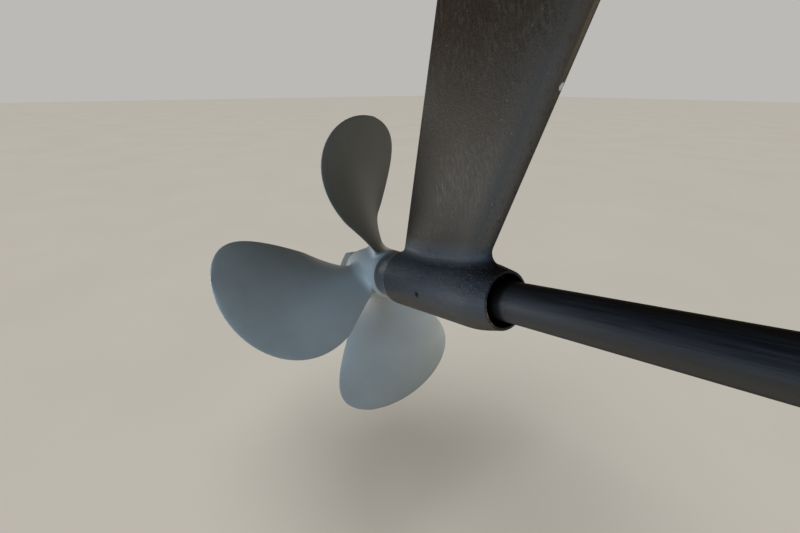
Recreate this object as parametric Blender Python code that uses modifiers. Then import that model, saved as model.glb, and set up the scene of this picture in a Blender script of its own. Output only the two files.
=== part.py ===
"""Stern gear of a motor boat: a four-bladed propeller on its shaft, carried by a cast strut.

Metres, +X towards the bow, +Y to port, +Z up. The origin is the middle of the palm's top face,
which is bolted up against the hull. The shaft slopes down towards the stern, and stations along
it are counted aft from the barrel's aft end.
"""
import math

import bmesh
import bpy
from mathutils import Matrix, Vector

# Shaft line, from the palm's top face
SHAFT_SLOPE = math.radians(14.3)
BARREL_END_BELOW_PALM = 0.4348
BARREL_END_BEHIND_PALM = 0.210

# Strut: palm
PALM_LENGTH = 0.400
PALM_WIDTH = 0.170
PALM_THICKNESS = 0.022
PALM_CORNER = 0.045
PALM_EDGE_ROUNDING = 0.004
BOLT_DIAMETER = 0.014
BOLT_HEAD_DIAMETER = 0.028
BOLT_ROWS = 3
BOLT_EDGE_DISTANCE = 0.027
BOLT_END_DISTANCE = 0.038

# Strut: arm, with shares of its width counted from the leading edge
ARM_THICKNESS = 0.032
ARM_NOSE_SHARE = 0.20
ARM_TAIL_FROM_SHARE = 0.45
ARM_TAIL_POWER = 1.6
ARM_TAIL_THINNING = 0.64
ARM_END_ROUNDING_SHARE = 0.03
ARM_HEAD_AFT = -0.111
ARM_HEAD_FORWARD = 0.104
ARM_FOOT_AFT = 0.0447
ARM_FOOT_FORWARD = 0.2201
ARM_FILLET = 0.018

# Strut: barrel, built outwards from the bearing it holds
BARREL_LENGTH = 0.2515
BARREL_WALL = 0.01135
BARREL_TAPER_LENGTH = 0.034
MOUTH_STEP = 0.00135
MOUTH_RIM = 0.00225

# Bearing pressed into the barrel, with a fluted rubber lining
BEARING_LENGTH = 0.203
SHELL_THICKNESS = 0.003
RUBBER_THICKNESS = 0.00465
FLUTE_COUNT = 10
FLUTE_DEPTH = 0.0025
SCREW_DIAMETER = 0.008
SCREW_BELOW_SURFACE = 0.0015
SCREW_SOCKET = 0.004
SCREW_SOCKET_DEPTH = 0.004
SCREW_ANGLE = math.radians(91)

# Shaft
SHAFT_DIAMETER = 0.050
SHAFT_FORWARD_OF_BARREL = 0.366
SHAFT_TAPER = 1 / 10
THREAD_STEP = 0.000775
THREAD_RELIEF = 0.003
THREAD_BEHIND_NUT = 0.020
END_CHAMFER = 0.0025
COUPLING_KEYWAY_LENGTH = 0.080
CENTRE_DRILL = 0.010

# Key between shaft and propeller
KEY_WIDTH = 0.014
KEY_HEIGHT = 0.009
KEY_LENGTH = 0.090
KEY_DEPTH_IN_SHAFT = 0.0055
KEY_ANGLE = math.radians(39)

# Propeller: hub
HUB_GAP = 0.006
HUB_LENGTH = 0.1245
HUB_FORWARD_DIAMETER = 0.084
HUB_DIAMETER = 0.090
HUB_WIDEST_SHARE = 0.42
HUB_AFT_DIAMETER = 0.066
HUB_EDGE = 0.003

# Propeller: blades, with shares of the tip radius
PROPELLER_DIAMETER = 0.563
PITCH = 0.641
BLADE_COUNT = 4
FIRST_BLADE_ANGLE = math.radians(-5.9)
BLADE_MIDDLE = 0.048
BLADE_WIDTH_ANGLE = math.radians(62.5)
WIDEST_SHARE = 0.46
OUTER_NARROWING_POWER = 1.95
ROOT_SHARE = 0.20
ROOT_NARROWING = 0.23
ROOT_NARROWING_POWER = 1.2
TIP_SKEW = math.radians(16.3)
SKEW_FROM_SHARE = 0.20
SKEW_POWER = 2.95
ROOT_THICKNESS = 0.019
TIP_THICKNESS = 0.0035
EDGE_THICKNESS = 0.0024
BLADE_FILLET = 0.013
BLADE_EDGE_FILLET = 0.003

# Nut and split pin
NUT_ACROSS_FLATS = 0.055
NUT_HEIGHT = 0.031
NUT_ANGLE = math.radians(5.6)
NUT_CHAMFER = math.radians(30)
PIN_WIRE = 0.003
PIN_LEG_GAP = 0.0002
PIN_HOLE_CLEARANCE = 0.0005
PIN_BEHIND_NUT = 0.008
PIN_EYE_RADIUS = 0.0045
PIN_TAIL = 0.012
PIN_TAIL_BEND = math.radians(70)
PIN_ANGLE = math.radians(64)

# Clearances, and how far a cutter runs past the face it cuts
SEAT_GAP = 0.0003
RUNNING_GAP = 0.0004
CUT_PAST = 0.010

# Facets
ROUND_STEPS = 48
SMALL_ROUND_STEPS = 20
FLUTE_STEPS = 12
CHORD_STEPS = 16
ARM_SPAN_STEPS = 5
BLADE_CHORD_STEPS = 14
BLADE_SPAN_STEPS = 12
HUB_SIDE_STEPS = 6
FILLET_STEPS = (0.0, 0.08, 0.22, 0.42, 0.68, 1.0)
SMOOTH_UP_TO = math.radians(35)

# Radii from the shaft outwards
SHAFT_RADIUS = SHAFT_DIAMETER / 2
LINING_INNER = SHAFT_RADIUS + RUNNING_GAP
LINING_OUTER = LINING_INNER + RUBBER_THICKNESS
SHELL_INNER = LINING_OUTER + SEAT_GAP
SHELL_OUTER = SHELL_INNER + SHELL_THICKNESS
BARREL_BORE = SHELL_OUTER + SEAT_GAP
BARREL_MOUTH = BARREL_BORE + MOUTH_STEP
BARREL_END_RADIUS = BARREL_MOUTH + MOUTH_RIM
BARREL_RADIUS = BARREL_BORE + BARREL_WALL
BEARING_RECESS = (BARREL_LENGTH - BEARING_LENGTH) / 2

# Stations along the shaft, counted aft from the barrel's aft end
HUB_START = HUB_GAP
HUB_END = HUB_START + HUB_LENGTH
HUB_MIDDLE = HUB_START + HUB_LENGTH / 2
NUT_START = HUB_END + SEAT_GAP
NUT_END = NUT_START + NUT_HEIGHT
SHAFT_END = NUT_END + THREAD_BEHIND_NUT

THREAD_RADIUS = SHAFT_RADIUS - HUB_LENGTH * SHAFT_TAPER / 2 - THREAD_STEP
TAPER_TILT = math.atan(SHAFT_TAPER / 2)
HUB_RADIUS = HUB_DIAMETER / 2
TIP_RADIUS = PROPELLER_DIAMETER / 2
PALM_UNDERSIDE = -PALM_THICKNESS
PIN_LEG = (PIN_WIRE + PIN_LEG_GAP) / 2


def clear_scene():
    for old in list(bpy.data.objects):
        bpy.data.objects.remove(old, do_unlink=True)


def new_collection(name):
    made = bpy.data.collections.new(name)
    bpy.context.scene.collection.children.link(made)
    return made


clear_scene()
stern_gear = new_collection("ship_propeller")
cutters = new_collection("cutters")

shaft_line = bpy.data.objects.new("shaft_line", None)
shaft_line.location = (-BARREL_END_BEHIND_PALM, 0, -BARREL_END_BELOW_PALM)
shaft_line.rotation_euler = (0, -(math.pi / 2 + SHAFT_SLOPE), 0)
stern_gear.objects.link(shaft_line)
bpy.context.view_layer.update()


def finish(name, colour, roughness, metallic):
    made = bpy.data.materials.new(name)
    made.use_nodes = True
    shader = made.node_tree.nodes["Principled BSDF"]
    shader.inputs["Base Color"].default_value = (*colour, 1)
    shader.inputs["Roughness"].default_value = roughness
    shader.inputs["Metallic"].default_value = metallic
    made.diffuse_color = (*colour, 1)
    return made


def place(name, data, material=None, on_shaft=True, collection=stern_gear):
    """Make an object; on_shaft ones are drawn about the shaft line, with local +Z pointing aft."""
    made = bpy.data.objects.new(name, data)
    collection.objects.link(made)
    if material:
        data.materials.append(material)
    if on_shaft:
        made.parent = shaft_line
    if collection is cutters:
        made.hide_render = True
        made.display_type = "WIRE"
    return made


def turned(name, profile, material=None, closed=False, steps=ROUND_STEPS, **where):
    """Turn a profile of (radius, height) points about its local Z.

    The points run down the outer side, from the top to the bottom.
    """
    mesh = bpy.data.meshes.new(name)
    edges = [(i, i + 1) for i in range(len(profile) - 1)]
    if closed:
        edges.append((len(profile) - 1, 0))
    mesh.from_pydata([(radius, 0, height) for radius, height in profile], edges, [])
    made = place(name, mesh, material, **where)
    screw = made.modifiers.new("turn", "SCREW")
    screw.steps = steps
    screw.render_steps = steps
    screw.use_merge_vertices = True
    screw.merge_threshold = 0.00001
    screw.use_smooth_shade = True
    return made


def loft(name, rings, **where):
    """Skin a list of rings with equal point counts, and close both ends."""
    work = bmesh.new()
    loops = [[work.verts.new(point) for point in ring] for ring in rings]
    for low, high in zip(loops, loops[1:]):
        for i in range(len(low)):
            j = (i + 1) % len(low)
            work.faces.new((low[i], low[j], high[j], high[i]))
    work.faces.new(list(reversed(loops[0])))
    work.faces.new(loops[-1])
    bmesh.ops.recalc_face_normals(work, faces=work.faces)
    mesh = bpy.data.meshes.new(name)
    work.to_mesh(mesh)
    work.free()
    mesh.shade_smooth()
    mesh.set_sharp_from_angle(angle=SMOOTH_UP_TO)
    return place(name, mesh, **where)


def boolean(target, other, operation):
    step = target.modifiers.new(operation.lower() + "_" + other.name, "BOOLEAN")
    step.operation = operation
    step.solver = "EXACT"
    step.object = other


def on_shaft_line(station, angle=0.0, radius=0.0):
    """A matrix at a station and radius, with local X pointing outwards along the radius."""
    turn = Matrix.Rotation(angle, 4, "Z")
    return turn @ Matrix.Translation((radius, 0, station))


def cylinder_mesh(name, diameter, length, sides):
    work = bmesh.new()
    bmesh.ops.create_cone(work, cap_ends=True, segments=sides, radius1=diameter / 2,
                          radius2=diameter / 2, depth=length)
    mesh = bpy.data.meshes.new(name)
    work.to_mesh(mesh)
    work.free()
    return mesh


def hexagon_mesh(name, across_flats, length):
    return cylinder_mesh(name, across_flats / math.cos(math.pi / 6), length, 6)


def box_mesh(name, size):
    work = bmesh.new()
    bmesh.ops.create_cube(work, size=1)
    bmesh.ops.scale(work, vec=size, verts=work.verts)
    mesh = bpy.data.meshes.new(name)
    work.to_mesh(mesh)
    work.free()
    return mesh


def cosine_shares(steps):
    """Shares from 0 to 1 that lie closer together at both ends."""
    return [(1 - math.cos(math.pi * i / steps)) / 2 for i in range(steps + 1)]


def circle_fillet(distance, radius):
    """How far a quarter-round fillet stands out at a distance above the surface it meets."""
    reach = radius - min(max(distance, 0.0), radius)
    return radius - math.sqrt(radius**2 - reach**2)


# Strut: one bronze casting of palm, arm and barrel

def side_fillet_heights():
    """Heights above the shaft line where the fillet on the arm's side starts and ends."""
    centre_out = ARM_THICKNESS / 2 + ARM_FILLET
    centre_up = math.sqrt((BARREL_RADIUS + ARM_FILLET)**2 - centre_out**2)
    return centre_up * BARREL_RADIUS / (BARREL_RADIUS + ARM_FILLET), centre_up


def side_fillet(height):
    """How far the fillet between arm and round barrel stands out, at a height above the shaft line."""
    low, high = side_fillet_heights()
    drop = high - min(max(height, low), high)
    return ARM_FILLET - math.sqrt(ARM_FILLET**2 - drop**2)


def arm_fullness(share):
    """The arm's thickness as a share of its greatest: round nose, full middle, thin rounded tail."""
    nose = 1 - min(share / ARM_NOSE_SHARE, 1.0)
    tail = max((share - ARM_TAIL_FROM_SHARE) / (1 - ARM_TAIL_FROM_SHARE), 0.0)
    end = 1 - min((1 - share) / ARM_END_ROUNDING_SHARE, 1.0)
    return math.sqrt(1 - nose**2) * (1 - ARM_TAIL_THINNING * tail**ARM_TAIL_POWER) * math.sqrt(1 - end**2)


def arm_ring(lead, trail, half_thickness):
    """One section of the arm between its two edge points, in the plane that holds both and Y."""
    starboard = []
    port = []
    for share in cosine_shares(CHORD_STEPS):
        middle = lead.lerp(trail, share)
        half = Vector((0, half_thickness * arm_fullness(share), 0))
        starboard.append(middle - half)
        port.append(middle + half)
    return starboard + port[-2:0:-1]


def shaft_point(forward, height):
    """World position in the middle plane, forward of the barrel's aft end and above the shaft line."""
    return shaft_line.matrix_world @ Vector((height, 0, -forward))


def arm_rings():
    """Sections from inside the barrel up into the palm, with a fillet at each end."""
    trail_foot = shaft_point(ARM_FOOT_AFT, BARREL_RADIUS)
    lead_foot = shaft_point(ARM_FOOT_FORWARD, BARREL_RADIUS)
    trail_head = Vector((ARM_HEAD_AFT, 0, PALM_UNDERSIDE))
    lead_head = Vector((ARM_HEAD_FORWARD, 0, PALM_UNDERSIDE))
    up = (shaft_point(0, 1) - shaft_point(0, 0)).normalized()
    trail_span = (trail_head - trail_foot).dot(up)
    span = ((lead_head - lead_foot).dot(up) + trail_span) / 2

    fillet_low = side_fillet_heights()[0] - BARREL_RADIUS
    foot = [fillet_low + (ARM_FILLET - fillet_low) * step for step in FILLET_STEPS]
    head = [span - ARM_FILLET * step for step in reversed(FILLET_STEPS)]
    steps = range(1, ARM_SPAN_STEPS)
    middle = [foot[-1] + (head[0] - foot[-1]) * i / ARM_SPAN_STEPS for i in steps]
    inside_barrel = -BARREL_RADIUS / 2
    inside_palm = span + PALM_THICKNESS / 2
    rings = []
    for above_barrel in [inside_barrel] + foot + middle + head + [inside_palm]:
        share = above_barrel / span
        palm_fillet = circle_fillet(span - above_barrel, ARM_FILLET)
        edge = circle_fillet(share * trail_span, ARM_FILLET) + palm_fillet
        side = side_fillet(BARREL_RADIUS + above_barrel) + palm_fillet
        trail = trail_foot.lerp(trail_head, share)
        lead = lead_foot.lerp(lead_head, share)
        along = (lead - trail).normalized()
        rings.append(arm_ring(lead + along * edge, trail - along * edge, ARM_THICKNESS / 2 + side))
    return rings


def palm_mesh():
    work = bmesh.new()
    bmesh.ops.create_cube(work, size=1)
    bmesh.ops.scale(work, vec=(PALM_LENGTH, PALM_WIDTH, PALM_THICKNESS), verts=work.verts)
    bmesh.ops.translate(work, vec=(0, 0, -PALM_THICKNESS / 2), verts=work.verts)
    upright = [e for e in work.edges if abs(e.verts[0].co.z - e.verts[1].co.z) > PALM_THICKNESS / 2]
    bmesh.ops.bevel(work, geom=upright, offset=PALM_CORNER, segments=8, affect="EDGES", profile=0.5)
    lower = [e for e in work.edges if all(v.co.z < PALM_UNDERSIDE / 2 for v in e.verts)]
    bmesh.ops.bevel(work, geom=lower, offset=PALM_EDGE_ROUNDING, segments=3, affect="EDGES",
                    profile=0.5)
    mesh = bpy.data.meshes.new("strut_palm")
    work.to_mesh(mesh)
    work.free()
    return mesh


def bolt_hole(x, y):
    """Cutter for one hull bolt's hole, countersunk on the palm's underside."""
    bolt = BOLT_DIAMETER / 2
    head = BOLT_HEAD_DIAMETER / 2
    profile = [(0, CUT_PAST), (bolt, CUT_PAST), (bolt, PALM_UNDERSIDE + head - bolt),
               (head, PALM_UNDERSIDE), (head, PALM_UNDERSIDE - CUT_PAST),
               (0, PALM_UNDERSIDE - CUT_PAST)]
    hole = turned("bolt_hole", profile, steps=SMALL_ROUND_STEPS, on_shaft=False, collection=cutters)
    hole.location = (x, y, 0)
    return hole


def make_strut(paint):
    end = BARREL_END_RADIUS
    barrel = [(0, 0), (end, 0), (BARREL_RADIUS, -BARREL_TAPER_LENGTH),
              (BARREL_RADIUS, BARREL_TAPER_LENGTH - BARREL_LENGTH), (end, -BARREL_LENGTH),
              (0, -BARREL_LENGTH)]
    strut = turned("strut", barrel, paint)
    # Half a facet, so that the bore's corners don't fall on the edges of the barrel's end faces
    strut.rotation_euler.z = math.pi / ROUND_STEPS

    palm = place("strut_palm", palm_mesh(), on_shaft=False, collection=cutters)
    half_length = PALM_LENGTH / 2 - BOLT_END_DISTANCE
    half_width = PALM_WIDTH / 2 - BOLT_EDGE_DISTANCE
    for row in range(BOLT_ROWS):
        for side in (-1, 1):
            x = half_length * (2 * row / (BOLT_ROWS - 1) - 1)
            boolean(palm, bolt_hole(x, side * half_width), "DIFFERENCE")
    boolean(strut, loft("strut_arm", arm_rings(), on_shaft=False, collection=cutters), "UNION")
    boolean(strut, palm, "UNION")

    seat_end = BEARING_RECESS - BARREL_LENGTH
    past_end = -BARREL_LENGTH - CUT_PAST
    bore = [(0, CUT_PAST), (BARREL_MOUTH, CUT_PAST), (BARREL_MOUTH, -BEARING_RECESS),
            (BARREL_BORE, -BEARING_RECESS), (BARREL_BORE, seat_end), (BARREL_MOUTH, seat_end),
            (BARREL_MOUTH, past_end), (0, past_end)]
    boolean(strut, turned("barrel_bore", bore, collection=cutters), "DIFFERENCE")
    for side in (-1, 1):
        hole = cylinder_mesh("screw_hole", SCREW_DIAMETER + 2 * SEAT_GAP, BARREL_RADIUS,
                             SMALL_ROUND_STEPS)
        drill = place("screw_hole", hole, collection=cutters)
        drill.matrix_local = screw_matrix(side, BARREL_RADIUS)
        boolean(strut, drill, "DIFFERENCE")


# Bearing: brass shell, rubber lining, and a set screw on each side

def screw_matrix(side, radius):
    """Place a set screw's middle at a radius, its axis along the radius."""
    turn = on_shaft_line(-BARREL_LENGTH / 2, side * SCREW_ANGLE, radius)
    return turn @ Matrix.Rotation(math.pi / 2, 4, "Y")


def flutes_mesh():
    """Round bars lying in the lining's inner face, whose inner halves are in the open bore."""
    work = bmesh.new()
    for i in range(FLUTE_COUNT):
        where = on_shaft_line(-BARREL_LENGTH / 2, 2 * math.pi * i / FLUTE_COUNT, LINING_INNER)
        bmesh.ops.create_cone(work, cap_ends=True, segments=FLUTE_STEPS, radius1=FLUTE_DEPTH,
                              radius2=FLUTE_DEPTH, depth=BEARING_LENGTH + 2 * CUT_PAST, matrix=where)
    mesh = bpy.data.meshes.new("flutes")
    work.to_mesh(mesh)
    work.free()
    return mesh


def make_bearing(brass, rubber, steel):
    aft = -BEARING_RECESS
    forward = aft - BEARING_LENGTH
    shell = [(SHELL_OUTER, aft), (SHELL_OUTER, forward), (SHELL_INNER, forward), (SHELL_INNER, aft)]
    turned("bearing_shell", shell, brass, closed=True)
    lining = [(LINING_OUTER, aft), (LINING_OUTER, forward), (LINING_INNER, forward),
              (LINING_INNER, aft)]
    rubber_lining = turned("bearing_rubber", lining, rubber, closed=True)
    boolean(rubber_lining, place("flutes", flutes_mesh(), collection=cutters), "DIFFERENCE")

    bottom = SHELL_OUTER + SEAT_GAP
    length = BARREL_RADIUS - SCREW_BELOW_SURFACE - bottom
    for number, side in enumerate((-1, 1), start=1):
        name = "bearing_set_screw_" + str(number)
        screw = place(name, cylinder_mesh(name, SCREW_DIAMETER, length, SMALL_ROUND_STEPS), steel)
        screw.matrix_local = screw_matrix(side, bottom + length / 2)
        hole = hexagon_mesh("screw_socket", SCREW_SOCKET, 2 * SCREW_SOCKET_DEPTH)
        socket = place("screw_socket", hole, collection=cutters)
        socket.matrix_local = screw_matrix(side, bottom + length)
        boolean(screw, socket, "DIFFERENCE")


# Shaft, and the key that drives the propeller

def cone_radius(station):
    """Radius of the shaft, which narrows in a cone from the hub's forward face."""
    return SHAFT_RADIUS - max(station - HUB_START, 0.0) * SHAFT_TAPER / 2


def key_block(name, room, length, **where):
    """The key, lying half in the cone; with room around it, the keyway that takes it."""
    size = (KEY_HEIGHT + 2 * room, KEY_WIDTH + 2 * room, length)
    block = place(name, box_mesh(name, size), **where)
    radius = cone_radius(HUB_MIDDLE) - KEY_DEPTH_IN_SHAFT + KEY_HEIGHT / 2
    tilt = Matrix.Rotation(-TAPER_TILT, 4, "Y")
    block.matrix_local = on_shaft_line(HUB_MIDDLE, KEY_ANGLE, radius) @ tilt
    return block


def make_shaft(paint):
    forward = -(BARREL_LENGTH + SHAFT_FORWARD_OF_BARREL)
    cone_end = HUB_END - THREAD_RELIEF
    profile = [(0, SHAFT_END), (THREAD_RADIUS - END_CHAMFER, SHAFT_END),
               (THREAD_RADIUS, SHAFT_END - END_CHAMFER), (THREAD_RADIUS, HUB_END),
               (cone_radius(cone_end), cone_end), (SHAFT_RADIUS, HUB_START),
               (SHAFT_RADIUS, forward + END_CHAMFER), (SHAFT_RADIUS - END_CHAMFER, forward),
               (CENTRE_DRILL / 2, forward), (0, forward + CENTRE_DRILL)]
    shaft = turned("propeller_shaft", profile, paint)
    keyway = key_block("shaft_keyway", SEAT_GAP, KEY_LENGTH + 2 * SEAT_GAP, collection=cutters)
    boolean(shaft, keyway, "DIFFERENCE")

    size = (KEY_HEIGHT, KEY_WIDTH, 2 * COUPLING_KEYWAY_LENGTH)
    slot = place("coupling_keyway", box_mesh("coupling_keyway", size), collection=cutters)
    slot_radius = SHAFT_RADIUS - KEY_DEPTH_IN_SHAFT + KEY_HEIGHT / 2
    slot.matrix_local = on_shaft_line(forward, KEY_ANGLE, slot_radius)
    boolean(shaft, slot, "DIFFERENCE")

    hole_diameter = 2 * (PIN_LEG + PIN_WIRE / 2 + PIN_HOLE_CLEARANCE)
    hole = cylinder_mesh("pin_hole", hole_diameter, 2 * (THREAD_RADIUS + CUT_PAST), SMALL_ROUND_STEPS)
    drill = place("pin_hole", hole, collection=cutters)
    drill.matrix_local = pin_matrix()
    boolean(shaft, drill, "DIFFERENCE")


def make_key(steel):
    key_block("propeller_key", 0.0, KEY_LENGTH, material=steel)


# Propeller: one bronze casting of hub and blades

def blade_edges(share):
    """Angles of leading and trailing edge about the blade's own radius line, at a share of radius."""
    if share > WIDEST_SHARE:
        outward = (share - WIDEST_SHARE) / (1 - WIDEST_SHARE)
        width = math.sqrt(max(1 - outward**OUTER_NARROWING_POWER, 0.0))
    else:
        inward = (WIDEST_SHARE - share) / (WIDEST_SHARE - ROOT_SHARE)
        width = 1 - ROOT_NARROWING * inward**ROOT_NARROWING_POWER
    skew = TIP_SKEW * max((share - SKEW_FROM_SHARE) / (1 - SKEW_FROM_SHARE), 0.0)**SKEW_POWER
    half = width * BLADE_WIDTH_ANGLE / 2
    return skew - half, skew + half


def blade_ring(radius, generator):
    """One cylindrical section of a blade: flat after face, rounded back towards the bow."""
    lead, trail = blade_edges(radius / TIP_RADIUS)
    outward = max((radius - HUB_RADIUS) / (TIP_RADIUS - HUB_RADIUS), 0.0)
    thickness = ROOT_THICKNESS + (TIP_THICKNESS - ROOT_THICKNESS) * outward
    fillet = circle_fillet(radius - HUB_RADIUS, BLADE_FILLET)
    edge_fillet = circle_fillet(radius - HUB_RADIUS, BLADE_EDGE_FILLET)
    advance = PITCH / (2 * math.pi)
    slope = math.atan2(advance, radius)
    stretch = edge_fillet / math.hypot(advance, radius)

    def point(share, out):
        """A point at a share of the width, standing out from the helical face towards the bow."""
        turn = lead - stretch + (trail - lead + 2 * stretch) * share
        angle = generator + turn + out * math.sin(slope) / radius
        station = HUB_START + BLADE_MIDDLE + advance * turn - out * math.cos(slope)
        return Vector((radius * math.cos(angle), radius * math.sin(angle), station))

    back = []
    face = []
    for share in cosine_shares(BLADE_CHORD_STEPS):
        crown = 4 * share * (1 - share)
        rounding = (EDGE_THICKNESS / 2 + fillet) * math.sqrt(crown)
        back.append(point(share, (thickness - EDGE_THICKNESS) * crown + rounding))
        face.append(point(share, -rounding))
    return back + face[-2:0:-1]


def blade_radii():
    """Radii of a blade's sections, from inside the hub's wall to just short of the tip circle.

    The width falls to nothing at the tip circle, so the last section stops a little before it.
    """
    inside_hub = (HUB_RADIUS + SHAFT_RADIUS) / 2
    root = [HUB_RADIUS + BLADE_FILLET * step for step in FILLET_STEPS]
    reach = TIP_RADIUS - root[-1]
    quarter = math.pi / 2 / BLADE_SPAN_STEPS
    outer = [root[-1] + reach * math.sin(quarter * i) for i in range(1, BLADE_SPAN_STEPS)]
    return [inside_hub] + root + outer + [TIP_RADIUS - SEAT_GAP / 10]


def hub_side(end_radius, end_station, widest_station):
    """Points of the hub's bulging side, from an end towards its widest ring."""
    points = []
    for i in range(HUB_SIDE_STEPS):
        share = i / HUB_SIDE_STEPS
        radius = end_radius + (HUB_RADIUS - end_radius) * math.sin(math.pi / 2 * share)
        points.append((radius, end_station + (widest_station - end_station) * share))
    return points


def make_propeller(coating):
    aft = HUB_AFT_DIAMETER / 2
    fore = HUB_FORWARD_DIAMETER / 2
    widest = HUB_START + HUB_LENGTH * HUB_WIDEST_SHARE
    fore_side = hub_side(fore, HUB_START + HUB_EDGE, widest)
    profile = [(0, HUB_END), (aft - HUB_EDGE, HUB_END)]
    profile += hub_side(aft, HUB_END - HUB_EDGE, widest)
    profile += [(HUB_RADIUS, widest)] + fore_side[::-1]
    profile += [(fore - HUB_EDGE, HUB_START), (0, HUB_START)]
    propeller = turned("propeller", profile, coating)
    for number in range(BLADE_COUNT):
        generator = FIRST_BLADE_ANGLE + 2 * math.pi * number / BLADE_COUNT
        rings = [blade_ring(radius, generator) for radius in blade_radii()]
        blade = loft("blade_" + str(number + 1), rings, collection=cutters)
        boolean(propeller, blade, "UNION")

    fore_bore = SHAFT_RADIUS + SEAT_GAP
    aft_bore = cone_radius(HUB_END) + SEAT_GAP
    bore = [(0, HUB_END + CUT_PAST), (aft_bore, HUB_END + CUT_PAST), (aft_bore, HUB_END),
            (fore_bore, HUB_START), (fore_bore, HUB_START - CUT_PAST), (0, HUB_START - CUT_PAST)]
    boolean(propeller, turned("hub_bore", bore, collection=cutters), "DIFFERENCE")
    keyway = key_block("hub_keyway", SEAT_GAP, HUB_LENGTH + 2 * CUT_PAST, collection=cutters)
    boolean(propeller, keyway, "DIFFERENCE")


# Nut and split pin

def make_nut(coating):
    nut = place("propeller_nut", hexagon_mesh("propeller_nut", NUT_ACROSS_FLATS, NUT_HEIGHT), coating)
    nut.matrix_local = on_shaft_line((NUT_START + NUT_END) / 2, NUT_ANGLE)
    flat = NUT_ACROSS_FLATS / 2
    corner = flat / math.cos(math.pi / 6)
    drop = (corner - flat) * math.tan(NUT_CHAMFER)
    rim = [(0, NUT_END), (flat, NUT_END), (corner, NUT_END - drop), (corner, NUT_START + drop),
           (flat, NUT_START), (0, NUT_START)]
    boolean(nut, turned("nut_chamfer", rim, collection=cutters), "INTERSECT")
    hole = THREAD_RADIUS + SEAT_GAP
    bore = [(0, NUT_END + CUT_PAST), (hole, NUT_END + CUT_PAST), (hole, NUT_START - CUT_PAST),
            (0, NUT_START - CUT_PAST)]
    boolean(nut, turned("nut_bore", bore, collection=cutters), "DIFFERENCE")


def pin_matrix():
    """Place the split pin across the shaft, its local Z pointing out towards the eye."""
    turn = on_shaft_line(NUT_END + PIN_BEHIND_NUT, PIN_ANGLE)
    return turn @ Matrix.Rotation(math.pi / 2, 4, "Y")


def pin_points():
    """The wire's middle line as (across, along): tail, leg, round the eye, leg, tail."""
    through = THREAD_RADIUS + PIN_WIRE
    bend_radius = PIN_TAIL / PIN_TAIL_BEND
    leg = []
    for i in range(4, -1, -1):
        bend = PIN_TAIL_BEND * i / 4
        across = PIN_LEG + bend_radius * (1 - math.cos(bend))
        leg.append((across, -through - bend_radius * math.sin(bend)))
    leg.append((PIN_LEG, through))
    start = -math.acos(PIN_LEG / PIN_EYE_RADIUS)
    eye_middle = through - PIN_EYE_RADIUS * math.sin(start)
    eye = []
    for i in range(1, 10):
        angle = start + (math.pi - 2 * start) * i / 10
        eye.append((PIN_EYE_RADIUS * math.cos(angle), eye_middle + PIN_EYE_RADIUS * math.sin(angle)))
    return leg + eye + [(-across, along) for across, along in reversed(leg)]


def make_split_pin(steel):
    """One wire folded at its eye, both legs through the shaft, their tails bent apart."""
    curve = bpy.data.curves.new("cotter_pin", "CURVE")
    curve.dimensions = "3D"
    curve.bevel_depth = PIN_WIRE / 2
    curve.bevel_resolution = 2
    curve.use_fill_caps = True
    points = pin_points()
    spline = curve.splines.new("POLY")
    spline.points.add(len(points) - 1)
    for point, (across, along) in zip(spline.points, points):
        point.co = (0, across, along, 1)
    pin = place("cotter_pin", curve, steel)
    pin.matrix_local = pin_matrix()


antifouling = finish("black_antifouling", (0.020, 0.021, 0.024), 0.55, 0.0)
zinc_coating = finish("grey_zinc_coating", (0.32, 0.34, 0.35), 0.60, 0.1)
bearing_brass = finish("bearing_brass", (0.45, 0.33, 0.16), 0.40, 1.0)
bearing_lining = finish("bearing_lining", (0.012, 0.012, 0.013), 0.70, 0.0)
stainless = finish("stainless_steel", (0.42, 0.42, 0.41), 0.35, 1.0)

make_strut(antifouling)
make_bearing(bearing_brass, bearing_lining, stainless)
make_shaft(antifouling)
make_key(stainless)
make_propeller(zinc_coating)
make_nut(zinc_coating)
make_split_pin(stainless)
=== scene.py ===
"""Looks of stern gear: a four-bladed propeller on its shaft under a cast strut.

Metres, +X forward, +Y to port, +Z up, from the middle of the palm's top face.
Stations along the shaft are counted aft from the barrel's aft end.
"""

import math

import bmesh
import bpy
from mathutils import Matrix, Vector


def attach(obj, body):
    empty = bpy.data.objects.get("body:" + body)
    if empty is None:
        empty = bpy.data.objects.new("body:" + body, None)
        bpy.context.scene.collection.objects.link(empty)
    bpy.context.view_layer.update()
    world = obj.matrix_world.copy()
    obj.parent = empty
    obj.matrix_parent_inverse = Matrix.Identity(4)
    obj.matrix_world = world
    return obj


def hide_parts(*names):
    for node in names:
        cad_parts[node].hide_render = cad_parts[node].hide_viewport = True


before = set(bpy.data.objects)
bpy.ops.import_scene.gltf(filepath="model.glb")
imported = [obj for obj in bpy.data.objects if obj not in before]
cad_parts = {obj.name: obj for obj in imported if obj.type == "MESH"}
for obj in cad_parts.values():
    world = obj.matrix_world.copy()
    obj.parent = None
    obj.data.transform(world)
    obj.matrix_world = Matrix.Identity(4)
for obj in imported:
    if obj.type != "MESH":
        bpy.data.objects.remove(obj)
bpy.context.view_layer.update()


# Camera: on the starboard side ahead of the propeller, close by and a little above the shaft,
# looking aft, to port and down through a wide lens.
eye = Vector((0.3075, -0.3446, -0.1347))
to_right = Vector((0.56535, 0.82485, 0.0))
to_top = Vector((-0.34292, 0.23502, 0.90949))
lens = bpy.data.cameras.new("camera")
lens.lens = 17.87
lens.sensor_width = 36
lens.clip_start = 0.01
camera = bpy.data.objects.new("camera", lens)
bpy.context.scene.collection.objects.link(camera)
view_axes = Matrix((to_right, to_top, to_right.cross(to_top))).transposed()
camera.matrix_world = Matrix.Translation(eye) @ view_axes.to_4x4()
bpy.context.scene.camera = camera
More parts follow.
